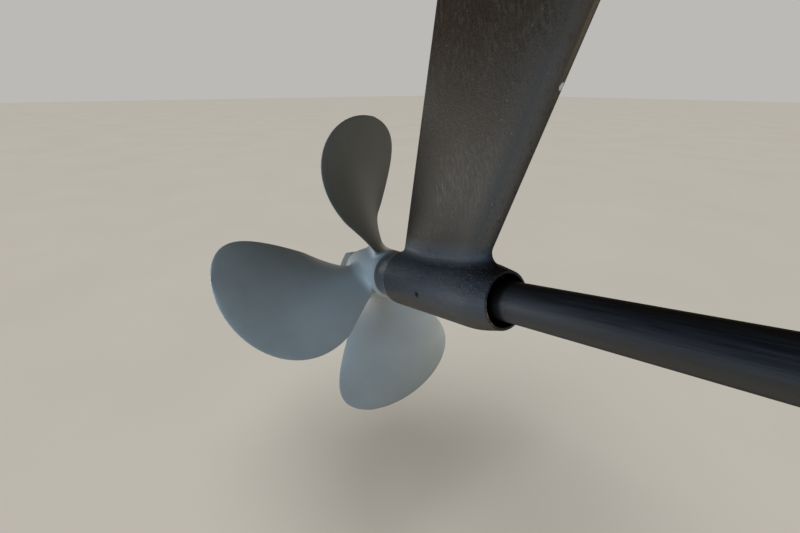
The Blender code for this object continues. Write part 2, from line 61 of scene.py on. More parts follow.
bpy.context.scene.view_settings.view_transform = "Standard"


# The studio floor: one large pale sheet below the propeller, smooth and faintly mottled.
FLOOR_HEIGHT = -0.985
FLOOR_REACH = 30.0


def new_finish(name):
    """A material with nodes, and its surface shader.

    It is named finish and surface while it is made up, and the helpers below add to it.
    """
    made = bpy.data.materials.new(name)
    made.use_nodes = True
    return made, made.node_tree.nodes["Principled BSDF"]


def connect(node, feeds):
    """Joins a node's inputs to other nodes' outputs, or sets them; colours are red, green, blue."""
    for name, value in feeds.items():
        socket = node.inputs[name]
        if isinstance(value, bpy.types.NodeSocket):
            finish.node_tree.links.new(value, socket)
        else:
            socket.default_value = (*value, 1) if socket.type == "RGBA" else value


def add_node(kind, feeds, **settings):
    made = finish.node_tree.nodes.new("ShaderNode" + kind)
    for name, value in settings.items():
        setattr(made, name, value)
    connect(made, feeds)
    return made


def noise(where, scale, detail=2.0, roughness=0.5):
    feeds = {"Vector": where, "Scale": scale, "Detail": detail, "Roughness": roughness}
    return add_node("TexNoise", feeds).outputs["Fac"]


def spread(value, low, high, to_low=0.0, to_high=1.0):
    """Stretches the part of a value between low and high over another range."""
    feeds = {"Value": value, "From Min": low, "From Max": high, "To Min": to_low, "To Max": to_high}
    return add_node("MapRange", feeds).outputs["Result"]


def mixed(share, first, second):
    """A colour between two colours."""
    feeds = {"Fac": share, "Color1": first, "Color2": second}
    return add_node("MixRGB", feeds).outputs["Color"]


def calculated(operation, first, second=0.0):
    return add_node("Math", {0: first, 1: second}, operation=operation).outputs["Value"]


def object_place():
    return add_node("TexCoord", {}).outputs["Object"]


def bump(height, distance, strength):
    feeds = {"Height": height, "Distance": distance, "Strength": strength}
    return add_node("Bump", feeds).outputs["Normal"]


def link_to_scene(name, data):
    made = bpy.data.objects.new(name, data)
    bpy.context.scene.collection.objects.link(made)
    return made


def flat_sheet(name, reach, place):
    """A square sheet in the finish at hand, lying flat."""
    mesh = bpy.data.meshes.new(name)
    corners = [(-reach, -reach, 0), (reach, -reach, 0), (reach, reach, 0), (-reach, reach, 0)]
    mesh.from_pydata(corners, [], [(0, 1, 2, 3)])
    mesh.materials.append(finish)
    made = link_to_scene(name, mesh)
    made.location = place
    return made


finish, surface = new_finish("studio_floor")
floor_colour = mixed(noise(object_place(), 1.4, 4.0), (0.62, 0.61, 0.59), (0.70, 0.69, 0.67))
connect(surface, {"Base Color": floor_colour, "Roughness": 0.85})
floor = flat_sheet("studio_floor", FLOOR_REACH, (0, 0, FLOOR_HEIGHT))


# Soft studio light: panels round the propeller in a dim warm surround that the camera sees as a
# wall, and a lamp for the floor alone. Cards keep some panels off the strut, shaft and nut. A
# dark sheet on the floor to port stays out of the picture but darkens what the pieces reflect.
def chosen(name, state, *pieces):
    """A collection that says which pieces a lamp lights, or which it leaves out."""
    made = bpy.data.collections.new(name)
    for piece in pieces:
        made.objects.link(piece)
    for choice in made.collection_objects:
        choice.light_linking.link_state = state
    return made


def place_lamp(name, light, place, target, lights):
    made = link_to_scene(name, light)
    made.location = place
    made.rotation_euler = (Vector(target) - Vector(place)).to_track_quat("-Z", "Y").to_euler()
    made.visible_camera = False
    made.light_linking.receiver_collection = lights
    return made


GEAR_MIDDLE = Vector((-0.22, 0, -0.42))


def soft_panel(name, direction, distance, size, power, colour, aim=GEAR_MIDDLE):
    """A rectangular panel at a distance from the gear's middle, aimed at a place."""
    light = bpy.data.lights.new(name, "AREA")
    light.shape = "RECTANGLE"
    light.size = size[0]
    light.size_y = size[1]
    light.energy = power
    light.color = colour
    place = GEAR_MIDDLE + Vector(direction).normalized() * distance
    return place_lamp(name, light, place, aim, chosen(name, "EXCLUDE", floor))


def keep_off(piece, *lamps):
    """Puts a piece behind the cards that keep some lamps' light off it."""
    for lamp in lamps:
        left_out = lamp.light_linking.receiver_collection
        left_out.objects.link(piece)
        for choice in left_out.collection_objects:
            choice.light_linking.link_state = "EXCLUDE"


upper_panel = soft_panel("upper_panel", (0.05, -0.95, 0.30), 1.2, (1.0, 0.5), 11, (0.56, 0.76, 1.0))
low_panel = soft_panel("low_panel", (0.15, 0.16, -0.12), 0.25, (0.20, 0.15), 0.28, (1.0, 0.98, 0.90),
                       (-0.2, 0.05, -0.6))
port_panel = soft_panel("port_panel", (-0.62, 0.75, 0.2), 2.6, (1.6, 1.0), 14, (1.0, 0.93, 0.85))
soft_panel("side_panel", (0.2, -0.95, -0.05), 1.5, (1.4, 0.6), 5, (0.56, 0.78, 1.0))
starboard_panel = soft_panel("starboard_panel", (-0.73, -0.66, -0.19), 1.7, (1.6, 0.5), 12,
                             (1.0, 0.95, 0.88))
soft_panel("stern_panel", (-0.93, -0.05, -0.1), 2.6, (1.4, 0.8), 3.5, (0.92, 1.0, 0.97))

floor_light = bpy.data.lights.new("floor_lamp", "SUN")
floor_light.energy = 2.3
floor_light.angle = math.radians(50)
floor_light.color = (1.0, 0.97, 0.90)
place_lamp("floor_lamp", floor_light, (0.4, -0.6, 3.0), (0, 0, 0), chosen("floor", "INCLUDE", floor))

finish, surface = new_finish("dark_sheet")
connect(surface, {"Base Color": (0.02, 0.018, 0.016), "Roughness": 0.9})
dark_sheet = flat_sheet("dark_sheet", 2.0, (-0.8, 2.1, FLOOR_HEIGHT + 0.03))
dark_sheet.visible_camera = False
dark_sheet.visible_diffuse = False
dark_sheet.visible_shadow = False

finish = bpy.data.worlds.new("surround")
finish.use_nodes = True
bpy.context.scene.world = finish
camera_sees = add_node("LightPath", {}).outputs["Is Camera Ray"]
wall_or_room = mixed(camera_sees, (0.049, 0.036, 0.021), (0.50, 0.49, 0.47))
connect(finish.node_tree.nodes["Background"], {"Color": wall_or_room})


# Strut: one bronze casting of palm, arm and barrel, under brushed near-black antifouling. The
# paint is worn and chipped along the arm's leading edge, and worn where the barrel's aft taper
# starts and low on the rim of its mouth. The palm is drilled for six countersunk bolts.
SHAFT_SLOPE = math.radians(14.3)
BARREL_END = Vector((-0.210, 0, -0.4348))
PALM_LENGTH = 0.400
PALM_WIDTH = 0.170
PALM_THICKNESS = 0.022
PALM_CORNER = 0.045
PALM_EDGE_ROUNDING = 0.004
BOLT_RADIUS = 0.007
BOLT_HEAD_RADIUS = 0.014
BOLT_PLACES = [(x, y) for x in (-0.162, 0, 0.162) for y in (-0.058, 0.058)]

ARM_THICKNESS = 0.032
ARM_NOSE_SHARE = 0.20
ARM_TAIL_FROM_SHARE = 0.45
ARM_TAIL_POWER = 1.6
ARM_TAIL_THINNING = 0.64
ARM_END_ROUNDING_SHARE = 0.03
ARM_HEAD_AFT = -0.111
ARM_HEAD_FORWARD = 0.104
ARM_FOOT_AFT = 0.0447
ARM_FOOT_FORWARD = 0.2220
ARM_FILLET = 0.018
FILLET_SUNK = 0.00015
ARM_CHORD_STEPS = 40
ARM_SPAN_STEPS = 14
ARM_FILLET_STEPS = 12
FILLET_BUNCHING = 1.6
FOOT_INSIDE_SHARE = 0.6
A_LITTLE_UP = 0.0008

BARREL_STEPS = 120
HALF_BARREL_STEP = math.radians(1.5)
BARREL_LENGTH = 0.2515
BARREL_RADIUS = 0.045
BARREL_END_RADIUS = 0.03725
BARREL_TAPER = 0.034
BARREL_BORE = 0.03365
BEARING_RECESS = 0.02425
RIM_ROUNDING = 0.0008
AFT_SHOULDER_ROUNDING = 0.002
FORWARD_SHOULDER_ROUNDING = 0.016
SCREW_ANGLE = math.radians(91)
SCREW_HOLE_RADIUS = 0.0043
PAST = 0.010

aft_along_shaft = Vector((-math.cos(SHAFT_SLOPE), 0, -math.sin(SHAFT_SLOPE)))
up_from_shaft = Vector((-math.sin(SHAFT_SLOPE), 0, math.cos(SHAFT_SLOPE)))
shaft_frame = Matrix.Translation(BARREL_END) @ Matrix((
    up_from_shaft, Vector((0, 1, 0)), aft_along_shaft)).transposed().to_4x4()


def mesh_from(work, name):
    bmesh.ops.recalc_face_normals(work, faces=work.faces)
    mesh = bpy.data.meshes.new(name)
    work.to_mesh(mesh)
    work.free()
    return mesh


def skinned(name, rings):
    """A solid skinned over rings of points, closed at both ends."""
    work = bmesh.new()
    loops = [[work.verts.new(point) for point in ring] for ring in rings]
    for low, high in zip(loops, loops[1:]):
        for i in range(len(low)):
            j = (i + 1) % len(low)
            work.faces.new((low[i], low[j], high[j], high[i]))
    work.faces.new(list(reversed(loops[0])))
    work.faces.new(loops[-1])
    return mesh_from(work, name)


def turned(name, profile, steps):
    """A solid turned about the shaft line from (radius, station) points, with flat ends."""
    rings = []
    for radius, station in profile:
        turns = [2 * math.pi * i / steps for i in range(steps)]
        rings.append([(radius * math.cos(turn), radius * math.sin(turn), station) for turn in turns])
    return skinned(name, rings)


def softened(profile, corner, reach, steps=6):
    """Rounds one corner of a profile over a reach either side of it."""
    before, here, after = (Vector(profile[corner + i]) for i in (-1, 0, 1))
    start = here + (before - here).normalized() * reach
    end = here + (after - here).normalized() * reach
    curve = []
    for i in range(steps + 1):
        share = i / steps
        curve.append(tuple(start.lerp(here, share).lerp(here.lerp(end, share), share)))
    return profile[:corner] + curve + profile[corner + 1:]


def cut_or_join(target, mesh, operation, where=None):
    """Joins another solid to a piece, or cuts it away."""
    other = link_to_scene("tool", mesh)
    other.matrix_world = where or Matrix.Identity(4)
    step = target.modifiers.new("tool", "BOOLEAN")
    step.operation = operation
    step.solver = "EXACT"
    step.object = other
    bpy.context.view_layer.update()
    graph = bpy.context.evaluated_depsgraph_get()
    result = bpy.data.meshes.new_from_object(target.evaluated_get(graph))
    target.modifiers.clear()
    target.data = result
    bpy.data.objects.remove(other)


def smooth_outside(piece, sharp_over):
    piece.data.shade_smooth()
    piece.data.set_sharp_from_angle(angle=math.radians(sharp_over))


def fillet_at(distance, radius):
    """How far a quarter-round fillet stands out at a distance above the surface it meets."""
    reach = radius - min(max(distance, 0.0), radius)
    return radius - math.sqrt(radius**2 - reach**2)


def arm_fullness(share):
    """The arm's thickness as a share of its greatest: round nose, full middle, thin round tail."""
    nose = 1 - min(share / ARM_NOSE_SHARE, 1.0)
    tail = max((share - ARM_TAIL_FROM_SHARE) / (1 - ARM_TAIL_FROM_SHARE), 0.0)
    end = 1 - min((1 - share) / ARM_END_ROUNDING_SHARE, 1.0)
    thinned = 1 - ARM_TAIL_THINNING * tail**ARM_TAIL_POWER
    return math.sqrt(1 - nose**2) * thinned * math.sqrt(1 - end**2)


def arm_point(i, above, palm_fillet=0.0):
    """One point of the arm's section at a height above the barrel, in the shaft's own axes.

    Points run from the leading edge along starboard to the trailing edge, and back along port.
    """
    steps = i if i <= ARM_CHORD_STEPS else 2 * ARM_CHORD_STEPS - i
    share = (1 - math.cos(math.pi * steps / ARM_CHORD_STEPS)) / 2
    lead = arm_lead_foot.lerp(arm_lead_head, above / arm_span)
    trail = arm_trail_foot.lerp(arm_trail_head, above / arm_span)
    forward = (lead - trail).normalized() * palm_fillet
    middle = (lead + forward).lerp(trail - forward, share)
    half = (ARM_THICKNESS / 2 + palm_fillet) * arm_fullness(share)
    return middle + Vector((0, half if i > ARM_CHORD_STEPS else -half, 0))


def barrel_outside(forward):
    """The barrel's radius, and how steeply it narrows going forward, ahead of its aft end."""
    for (radius, station), (next_radius, next_station) in zip(barrel_profile, barrel_profile[1:]):
        if -station <= forward <= -next_station and next_station < station:
            share = (forward + station) / (station - next_station)
            slope = math.atan2(radius - next_radius, station - next_station)
            return radius + (next_radius - radius) * share, slope
    return BARREL_END_RADIUS, 0.0


def foot_fillet(i):
    """Where a ball rolled into the corner of arm and barrel lies, and where it touches both.

    It is sunk a hair into the barrel, so that the two meet in one clean line.
    """
    before = (i - 1) % (2 * ARM_CHORD_STEPS)
    after = (i + 1) % (2 * ARM_CHORD_STEPS)
    above = ARM_FILLET / 2
    slope = 0.0
    for attempt in range(12):
        wall = arm_point(i, above)
        round_arm = arm_point(after, above) - arm_point(before, above)
        outward = (arm_point(i, above + A_LITTLE_UP) - wall).cross(round_arm).normalized()
        ball = wall + outward * ARM_FILLET
        radius, slope = barrel_outside(-ball.z - ARM_FILLET * math.sin(slope))
        reach = math.hypot(ball.x, ball.y)
        above += (radius - FILLET_SUNK + ARM_FILLET * math.cos(slope) - reach) * reach / ball.x
    narrowing = Vector((ball.x / reach, ball.y / reach, 0)) * math.cos(slope)
    narrowing.z = -math.sin(slope)
    return above, ball, -outward, -narrowing


def arm_rings():
    """Sections of the arm from inside the barrel up into the palm, with a fillet at each end."""
    count = 2 * ARM_CHORD_STEPS
    feet = [foot_fillet(i) for i in range(count)]
    rings = []
    for step in range(ARM_FILLET_STEPS + 1):
        share = 1 - step / ARM_FILLET_STEPS
        rings.append([ball + wall_side.slerp(barrel_side, share) * ARM_FILLET
                      for above, ball, wall_side, barrel_side in feet])
    inward = Matrix.Diagonal((FOOT_INSIDE_SHARE, FOOT_INSIDE_SHARE, 1))
    inside = [inward @ point for point in rings[0]]
    head = arm_span - ARM_FILLET
    for step in range(1, ARM_SPAN_STEPS):
        share = step / ARM_SPAN_STEPS
        rings.append([arm_point(i, feet[i][0] + (head - feet[i][0]) * share) for i in range(count)])
    for step in range(ARM_FILLET_STEPS, -1, -1):
        below_palm = ARM_FILLET * (step / ARM_FILLET_STEPS)**FILLET_BUNCHING
        palm_fillet = fillet_at(below_palm, ARM_FILLET)
        rings.append([arm_point(i, arm_span - below_palm, palm_fillet) for i in range(count)])
    in_palm = arm_span + PALM_THICKNESS / 2
    rings.append([arm_point(i, in_palm, ARM_FILLET) for i in range(count)])
    return [inside] + rings


def palm_mesh():
    work = bmesh.new()
    bmesh.ops.create_cube(work, size=1)
    bmesh.ops.scale(work, vec=(PALM_LENGTH, PALM_WIDTH, PALM_THICKNESS), verts=work.verts)
    bmesh.ops.translate(work, vec=(0, 0, -PALM_THICKNESS / 2), verts=work.verts)
    upright = [e for e in work.edges if abs(e.verts[0].co.z - e.verts[1].co.z) > PALM_THICKNESS / 2]
    bmesh.ops.bevel(work, geom=upright, offset=PALM_CORNER, segments=20, affect="EDGES", profile=0.5)
    lower = [e for e in work.edges if all(v.co.z < -PALM_THICKNESS / 2 for v in e.verts)]
    bmesh.ops.bevel(work, geom=lower, offset=PALM_EDGE_ROUNDING, segments=6, affect="EDGES",
                    profile=0.5)
    return mesh_from(work, "strut_palm")


barrel_profile = [(BARREL_END_RADIUS, 0), (BARREL_RADIUS, -BARREL_TAPER),
                  (BARREL_RADIUS, BARREL_TAPER - BARREL_LENGTH), (BARREL_END_RADIUS, -BARREL_LENGTH)]
barrel_profile = softened(barrel_profile, 2, FORWARD_SHOULDER_ROUNDING, 12)
barrel_profile = softened(barrel_profile, 1, AFT_SHOULDER_ROUNDING, 4)
barrel_profile = [(BARREL_END_RADIUS - RIM_ROUNDING, 0)] + barrel_profile
barrel_profile += [(BARREL_END_RADIUS - RIM_ROUNDING, -BARREL_LENGTH)]
barrel_profile = softened(barrel_profile, len(barrel_profile) - 2, RIM_ROUNDING, 4)
barrel_profile = softened(barrel_profile, 1, RIM_ROUNDING, 4)

to_shaft = shaft_frame.inverted()
arm_trail_foot = Vector((BARREL_RADIUS, 0, -ARM_FOOT_AFT))
arm_lead_foot = Vector((BARREL_RADIUS, 0, -ARM_FOOT_FORWARD))
arm_trail_head = to_shaft @ Vector((ARM_HEAD_AFT, 0, -PALM_THICKNESS))
arm_lead_head = to_shaft @ Vector((ARM_HEAD_FORWARD, 0, -PALM_THICKNESS))
arm_span = (arm_lead_head.x + arm_trail_head.x) / 2 - BARREL_RADIUS

strut = link_to_scene("strut_casting", turned("strut_casting", barrel_profile, BARREL_STEPS))
strut.data.transform(shaft_frame @ Matrix.Rotation(HALF_BARREL_STEP, 4, "Z"))

palm = link_to_scene("palm", palm_mesh())
for x, y in BOLT_PLACES:
    countersink = BOLT_HEAD_RADIUS - BOLT_RADIUS
    hole = [(BOLT_RADIUS, PAST), (BOLT_RADIUS, countersink - PALM_THICKNESS),
            (BOLT_HEAD_RADIUS, -PALM_THICKNESS), (BOLT_HEAD_RADIUS, -PALM_THICKNESS - PAST)]
    cut_or_join(palm, turned("bolt_hole", hole, 40), "DIFFERENCE", Matrix.Translation((x, y, 0)))
cut_or_join(strut, skinned("arm", arm_rings()), "UNION", shaft_frame)
cut_or_join(strut, palm.data, "UNION")
bpy.data.objects.remove(palm)

bore = [(BARREL_BORE, PAST), (BARREL_BORE, -BARREL_LENGTH - PAST)]
cut_or_join(strut, turned("bore", bore, 96), "DIFFERENCE", shaft_frame)


def across_shaft(side, radius):
    """Lays a turned piece's own line along a radius, at the set screws' place."""
    spin = Matrix.Rotation(side * SCREW_ANGLE, 4, "Z")
    out = Matrix.Translation((radius, 0, -BARREL_LENGTH / 2)) @ Matrix.Rotation(math.pi / 2, 4, "Y")
    return shaft_frame @ spin @ out


for screw_side in (-1, 1):
    drill = [(SCREW_HOLE_RADIUS, 0), (SCREW_HOLE_RADIUS, 2 * PAST)]
    cut_or_join(strut, turned("screw_hole", drill, 32), "DIFFERENCE",
                across_shaft(screw_side, BARREL_BORE - PAST / 2))
smooth_outside(strut, 38)


def along(place, start, direction):
    """How far a place lies from a start, along a direction."""
    offset = add_node("VectorMath", {0: place, 1: start}, operation="SUBTRACT")
    feeds = {0: offset.outputs["Vector"], 1: direction}
    return add_node("VectorMath", feeds, operation="DOT_PRODUCT").outputs["Value"]


def places_by_shaft():
    """A place, and how far it lies aft along, above and to port of the shaft line."""
    place = object_place()
    directions = (aft_along_shaft, up_from_shaft, (0, 1, 0))
    return [place] + [along(place, BARREL_END, direction) for direction in directions]


def times(first, second):
    """Two values multiplied: of two shares from 0 to 1, what both of them cover."""
    return calculated("MULTIPLY", first, second)


def plus(first, second):
    return calculated("ADD", first, second)


def drawn_out(places, scales, detail, roughness=0.6):
    """Noise drawn out into strokes, with its own scale along each of three directions."""
    x, y, z = (times(place, scale) for place, scale in zip(places, scales))
    where = add_node("CombineXYZ", {"X": x, "Y": y, "Z": z}).outputs["Vector"]
    return noise(where, 1.0, detail, roughness)


def line_at(value, middle, half_width):
    """One on a line at a value, fading to nothing over half a width either side."""
    off = calculated("ABSOLUTE", plus(value, -middle))
    return spread(off, half_width * 0.5, half_width, 1.0, 0.0)


def layered(colour, *coats):
    """Lays coats over a colour; each is a share from 0 to 1 and a colour."""
    for share, coat in coats:
        colour = mixed(share, colour, coat)
    return colour


finish, surface = new_finish("antifouling_on_strut")
place, station, height, side = places_by_shaft()
angle = calculated("ARCTAN2", side, height)
out = calculated("SQRT", plus(times(side, side), times(height, height)))
on_arm = spread(out, BARREL_RADIUS + 0.010, BARREL_RADIUS + 0.030)
off_arm = spread(out, BARREL_RADIUS + 0.001, BARREL_RADIUS + 0.003, 1.0, 0.0)

lead_foot = shaft_frame @ arm_lead_foot
lead_line = (shaft_frame @ arm_lead_head - lead_foot).normalized()
up_lead = along(place, lead_foot, lead_line)
ahead = along(place, lead_foot, (lead_line.z, 0, -lead_line.x))
low_starboard = along(place, BARREL_END, -0.24 * up_from_shaft + Vector((0, -0.97, 0)))

arm_strokes = drawn_out((station, side, height), (300.0, 300.0, 115.0), 2.5)
barrel_strokes = drawn_out((station, angle, out), (60.0, 16.0, 60.0), 3.0)
strokes = mixed(on_arm, barrel_strokes, arm_strokes)
hairs = drawn_out((station, angle, out), (900.0, 14.0, 300.0), 2.0, 0.5)
stipple = noise(place, 480.0, 3.0, 0.6)
specks = noise(place, 260.0, 1.0)
cloud = noise(place, 9.0, 3.0, 0.55)
patches = noise(place, 110.0, 3.0, 0.6)

# Barrel: painted shade along the top near its mouth, a painted sheen on the sides aft, painted bounce
# light below.
from_top = calculated("ABSOLUTE", angle)
top_shade = times(spread(from_top, 0.35, 0.90, 0.85, 0.0), spread(station, -0.225, -0.110, 1.0, 0.0))
top_shade = times(top_shade, spread(out, BARREL_RADIUS + 0.001, BARREL_RADIUS + 0.007, 1.0, 0.0))
# A painted sheen: a paler blue band on the barrel's sides near its aft end.
painted_sheen_band = times(spread(from_top, 0.45, 0.75), spread(from_top, 1.1, 1.5, 0.5, 0.0))
# Painted brown bounce light on the barrel's underside, reaching higher towards the aft end.
lower_from = plus(from_top, spread(station, -0.25, 0.0, 0.0, 0.35))
# Painted shade: the inside of the bore is darkened to near black.
painted_shade_in_bore = spread(out, BARREL_BORE + 0.0003, BARREL_BORE + 0.0009, 1.0, 0.0)
# The barrel's blue tint is painted skylight on near-black antifouling.
barrel_colour = layered(
    mixed(spread(cloud, 0.32, 0.68), (0.052, 0.074, 0.112), (0.074, 0.099, 0.138)),
    (top_shade, (0.010, 0.014, 0.022)),
    (times(painted_sheen_band, spread(station, -0.130, -0.050)), (0.095, 0.118, 0.150)),
    (spread(lower_from, 1.5, 2.2, 0.0, 0.9), (0.068, 0.056, 0.040)),
    (painted_shade_in_bore, (0.005, 0.005, 0.006)))

# Arm: painted shade, darker and browner towards the palm; paler on the leading side and most of all on
# its nose.
painted_shade_to_palm = plus(spread(height, 0.10, 0.36, 0.0, 0.8), spread(cloud, 0.35, 0.65, -0.3, 0.3))
leading_side = spread(ahead, -0.050, -0.004, 0.0, 0.9)
nose_paler = spread(ahead, -0.015, -0.003, 0.0, 0.8)
arm_colour = layered(
    mixed(painted_shade_to_palm, (0.030, 0.027, 0.023), (0.022, 0.010, 0.002)),
    (leading_side, mixed(painted_shade_to_palm, (0.062, 0.064, 0.068), (0.046, 0.036, 0.026))),
    (nose_paler, mixed(painted_shade_to_palm, (0.125, 0.115, 0.104), (0.070, 0.055, 0.040))))

# Marks on the barrel: grey wear on its aft taper, specks of painted highlight beside the painted shade on
# top, fine scratches.
on_taper = times(spread(station, -BARREL_TAPER, 0.001 - BARREL_TAPER), off_arm)
worn_grey = times(on_taper, spread(stipple, 0.35, 0.65, 0.2, 0.8))
beside_top = times(off_arm, line_at(angle, -0.75, 0.75))
painted_glints_beside_top = times(spread(stipple, 0.55, 0.63), beside_top)
hair_marks = times(spread(hairs, 0.68, 0.74), spread(cloud, 0.45, 0.55))
hair_marks = times(hair_marks, times(off_arm, spread(station, -0.246, -0.205, 1.0, 0.0)))
scratches = calculated("MAXIMUM", hair_marks, spread(specks, 0.745, 0.76, 0.0, 0.8))

# Leading edge: a brown strip with a worn line on it, above one chip whose near-white is a painted
# reflection of its bare metal.
lead_length = (arm_lead_head - arm_lead_foot).length
under_palm = spread(up_lead, lead_length, lead_length + 0.005, 1.0, 0.0)
on_edge = times(spread(ahead, -0.009, -0.006), spread(ahead, 0.003, 0.006, 1.0, 0.0))
on_edge = times(on_edge, times(on_arm, under_palm))
above_chip = times(on_edge, spread(up_lead, 0.19, 0.25))
edge_strip = times(above_chip, spread(side, -0.0075, -0.0055))
edge_line = times(above_chip, line_at(side, -0.0014, 0.0030))
edge_line = times(edge_line, spread(patches, 0.25, 0.45, 0.5, 1.0))

CHIP_UP_EDGE = 0.2122
CHIP_LENGTH = 0.0075
CHIP_WIDTH = 0.0052
CHIP_TO_PORT = 0.0002
chip_long = times(plus(up_lead, -CHIP_UP_EDGE), 2 / CHIP_LENGTH)
chip_wide = times(plus(side, -CHIP_TO_PORT), 2 / CHIP_WIDTH)
chip_reach = plus(times(chip_long, chip_long), times(chip_wide, chip_wide))
chip_reach = plus(chip_reach, spread(stipple, 0.3, 0.7, -0.1, 0.1))
chip_with_painted_glint = times(spread(chip_reach, 0.8, 1.1, 1.0, 0.0), on_edge)

# Bare bronze: patches on the barrel's aft shoulder and low on the rim of its mouth.
shoulder = times(line_at(station, 0.0005 - BARREL_TAPER, 0.0016), off_arm)
rim = times(line_at(out, BARREL_BORE + 0.0015, 0.0015), line_at(station, -BARREL_LENGTH, 0.0024))
rim = times(rim, spread(low_starboard, 0.0300, 0.0325))
worn = times(calculated("MAXIMUM", shoulder, rim), spread(patches, 0.36, 0.50))

strut_colour = layered(
    mixed(on_arm, barrel_colour, arm_colour),
    (spread(strokes, 0.30, 0.48, 0.5, 0.0), (0.012, 0.011, 0.010)),
    (spread(strokes, 0.52, 0.70, 0.0, 0.5), (0.070, 0.064, 0.056)),
    (spread(stipple, 0.62, 0.74, 0.0, 0.4), (0.085, 0.090, 0.095)),
    (worn_grey, (0.155, 0.180, 0.208)),
    (times(painted_glints_beside_top, 0.9), (0.140, 0.165, 0.200)),
    (times(scratches, 0.6), (0.22, 0.22, 0.21)),
    (times(edge_strip, 0.6), (0.085, 0.064, 0.042)),
    (times(edge_line, 0.8), (0.200, 0.170, 0.125)),
    (times(worn, 0.75), (0.40, 0.35, 0.27)),
    # The chip's near-white colour is a painted reflection.
    (chip_with_painted_glint, (0.93, 0.96, 1.0)))
relief = layered(
    plus(times(strokes, 0.7), times(stipple, 0.6)),
    (calculated("MAXIMUM", worn, edge_line), (0.1, 0.1, 0.1)),
    (chip_with_painted_glint, (0.65, 0.65, 0.65)))
connect(surface, {
    "Base Color": strut_colour, "Roughness": spread(strokes, 0.3, 0.7, 0.42, 0.58),
    "Specular IOR Level": 0.4, "Normal": bump(relief, 0.0005, 0.7)})
strut.data.materials.clear()
strut.data.materials.append(finish)
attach(strut, "strut")
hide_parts("strut")
keep_off(strut, upper_panel, low_panel, port_panel)


# Bearing: a brass shell pressed into the barrel, with a moulded rubber lining whose flutes let
# water through along the shaft. A socket set screw on each side, sunk in its hole and painted
# over, locks the shell.
BEARING_LENGTH = 0.203
SHELL_THICKNESS = 0.003
SHELL_CHAMFER = 0.0008
RUBBER_THICKNESS = 0.00465
RUBBER_CHAMFER = 0.0006
FLUTE_COUNT = 10
FLUTE_RADIUS = 0.0025
FLUTE_STEPS = 14
STEPS_BETWEEN_FLUTES = 8
SHAFT_RADIUS = 0.025
RUNNING_GAP = 0.0004
SEAT_GAP = 0.0003
SCREW_RADIUS = 0.004
SCREW_CHAMFER = 0.0007
SCREW_BELOW_SURFACE = 0.0004
SCREW_SOCKET = 0.004
SCREW_SOCKET_DEPTH = 0.004

lining_inner = SHAFT_RADIUS + RUNNING_GAP
lining_outer = lining_inner + RUBBER_THICKNESS
shell_inner = lining_outer + SEAT_GAP
shell_outer = shell_inner + SHELL_THICKNESS
bearing_aft = -BEARING_RECESS
bearing_forward = bearing_aft - BEARING_LENGTH


def sleeve(name, turns, outline_at):
    """A sleeve about the shaft line; outline_at gives its (radius, station) section at a turn."""
    work = bmesh.new()
    loops = []
    for turn in turns:
        loops.append([work.verts.new((radius * math.cos(turn), radius * math.sin(turn), station))
                      for radius, station in outline_at(turn)])
    for loop, following in zip(loops, loops[1:] + loops[:1]):
        for j in range(len(loop)):
            k = (j + 1) % len(loop)
            work.faces.new((loop[j], loop[k], following[k], following[j]))
    return mesh_from(work, name)


def shell_outline(turn):
    edge = SHELL_CHAMFER
    return [(shell_outer, bearing_aft - edge), (shell_outer, bearing_forward + edge),
            (shell_outer - edge, bearing_forward), (shell_inner + edge / 2, bearing_forward),
            (shell_inner, bearing_forward + edge / 2), (shell_inner, bearing_aft - edge / 2),
            (shell_inner + edge / 2, bearing_aft), (shell_outer - edge, bearing_aft)]


def lining_outline(turn):
    """The lining's section, which is thinner where a round flute runs through it."""
    from_flute = (turn * FLUTE_COUNT / (2 * math.pi) + 0.5) % 1.0 - 0.5
    aside = lining_inner * math.sin(from_flute * 2 * math.pi / FLUTE_COUNT)
    inner = lining_inner
    if abs(aside) < FLUTE_RADIUS:
        inner = max(inner, math.sqrt(lining_inner**2 - aside**2) + math.sqrt(FLUTE_RADIUS**2 - aside**2))
    edge = RUBBER_CHAMFER
    return [(lining_outer, bearing_aft), (lining_outer, bearing_forward),
            (inner + edge, bearing_forward), (inner, bearing_forward + edge),
            (inner, bearing_aft - edge), (inner + edge, bearing_aft)]


shell_turns = [2 * math.pi * i / 120 for i in range(120)]
shell = link_to_scene("brass_shell", sleeve("brass_shell", shell_turns, shell_outline))
lining_turns = []
for flute in range(FLUTE_COUNT):
    half_flute = math.asin(FLUTE_RADIUS / lining_inner)
    for i in range(-FLUTE_STEPS, FLUTE_STEPS + 1):
        across_flute = half_flute * math.sin(math.pi / 2 * i / FLUTE_STEPS)
        lining_turns.append(2 * math.pi * flute / FLUTE_COUNT + across_flute)
    for i in range(1, STEPS_BETWEEN_FLUTES):
        land = 2 * math.pi / FLUTE_COUNT - 2 * half_flute
        between = half_flute + land * i / STEPS_BETWEEN_FLUTES
        lining_turns.append(2 * math.pi * flute / FLUTE_COUNT + between)
lining = link_to_scene("rubber_lining", sleeve("rubber_lining", lining_turns, lining_outline))
for piece in (shell, lining):
    piece.data.transform(shaft_frame)
    smooth_outside(piece, 25)

finish, surface = new_finish("bearing_brass")
cloud = noise(object_place(), 40.0, 4.0)
connect(surface, {
    "Base Color": mixed(cloud, (0.045, 0.032, 0.018), (0.095, 0.068, 0.034)), "Metallic": 1.0,
    "Roughness": spread(cloud, 0.3, 0.7, 0.50, 0.70), "Normal": bump(cloud, 0.0002, 0.5)})
shell.data.materials.append(finish)
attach(shell, "strut")
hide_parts("bearing_shell")

finish, surface = new_finish("bearing_rubber")
grain = noise(object_place(), 300.0, 3.0)
connect(surface, {
    "Base Color": mixed(grain, (0.010, 0.010, 0.010), (0.022, 0.021, 0.020)),
    "Roughness": spread(grain, 0.3, 0.7, 0.55, 0.75), "Normal": bump(grain, 0.0002, 0.5)})
lining.data.materials.append(finish)
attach(lining, "strut")
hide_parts("bearing_rubber")

